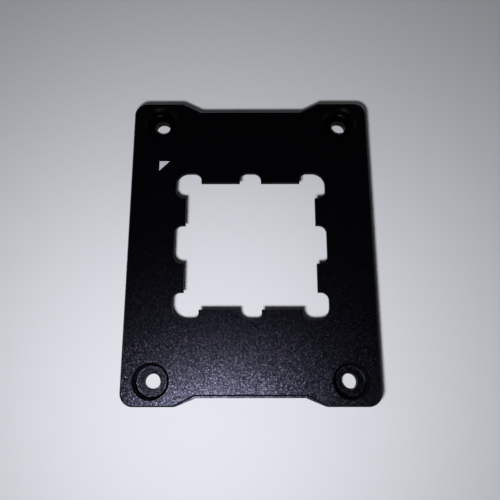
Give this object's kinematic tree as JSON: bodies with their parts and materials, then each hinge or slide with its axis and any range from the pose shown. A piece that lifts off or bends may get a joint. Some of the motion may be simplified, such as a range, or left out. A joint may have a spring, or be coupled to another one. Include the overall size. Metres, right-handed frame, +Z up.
{
  "type": "cpu socket retention frame",
  "caption": "Flat milled aluminium frame that screws down over a processor socket, with a tabbed window for the heat spreader, sunk screw holes at the corners and notched short ends.",
  "frame": {"origin": "middle of the underside, which rests on the board", "axes": "+Z up out of the top face, Y along the long sides, X across; the pin-one mark is at -X, +Y"},
  "size_m": [0.0636, 0.0812, 0.0055],
  "materials": {
    "anodised": "bead-blasted and black anodised, with a fine sparkle"
  },
  "bodies": {
    "root": {"retention_frame": "anodised"}
  },
  "joints": []
}
